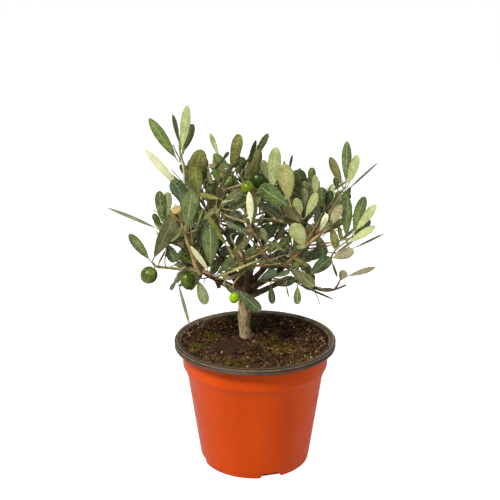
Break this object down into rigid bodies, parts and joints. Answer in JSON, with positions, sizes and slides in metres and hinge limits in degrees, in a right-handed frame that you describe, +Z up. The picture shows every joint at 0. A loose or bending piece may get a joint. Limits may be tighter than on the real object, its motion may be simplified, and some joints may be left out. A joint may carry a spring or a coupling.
{
  "type": "potted olive tree",
  "caption": "Young olive tree with an open bushy crown of narrow leaves and green fruit on a short bare trunk, in a tapered plastic pot with a wide rim. Stands on its pot.",
  "frame": {"origin": "middle of the pot's flat underside, on the surface that it stands on", "axes": "+Z up along the pot's axis, -Y towards the side that the picture shows, +X to the right of that view"},
  "size_m": [0.2307, 0.2011, 0.3136],
  "materials": {
    "pot": "thin moulded plastic, terracotta orange and faintly glossy outside, black inside and on the rim",
    "soil": "loose dark fibrous compost with a little moss",
    "bark": "fine-grained grey-tan bark, redder brown on the boughs",
    "foliage": "leathery leaves, dark green above and pale grey-green below, on yellow-green twigs"
  },
  "bodies": {
    "root": {"pot": "pot", "soil": "soil", "trunk": "bark", "bough_leader": "bark", "bough_left": "bark", "bough_right": "bark", "bough_right_low": "bark", "bough_front": "bark", "bough_left_upper": "bark", "bough_upper_left": "bark", "bough_upper_right": "bark", "bough_back_left": "bark", "bough_back_right": "bark", "foliage_front": "foliage", "foliage_left_low": "foliage", "foliage_right_low": "foliage", "foliage_left_mid": "foliage", "foliage_right": "foliage", "foliage_upper_left": "foliage", "foliage_top": "foliage", "foliage_upper_right": "foliage", "foliage_back_left": "foliage", "foliage_back_right": "foliage"}
  },
  "joints": []
}
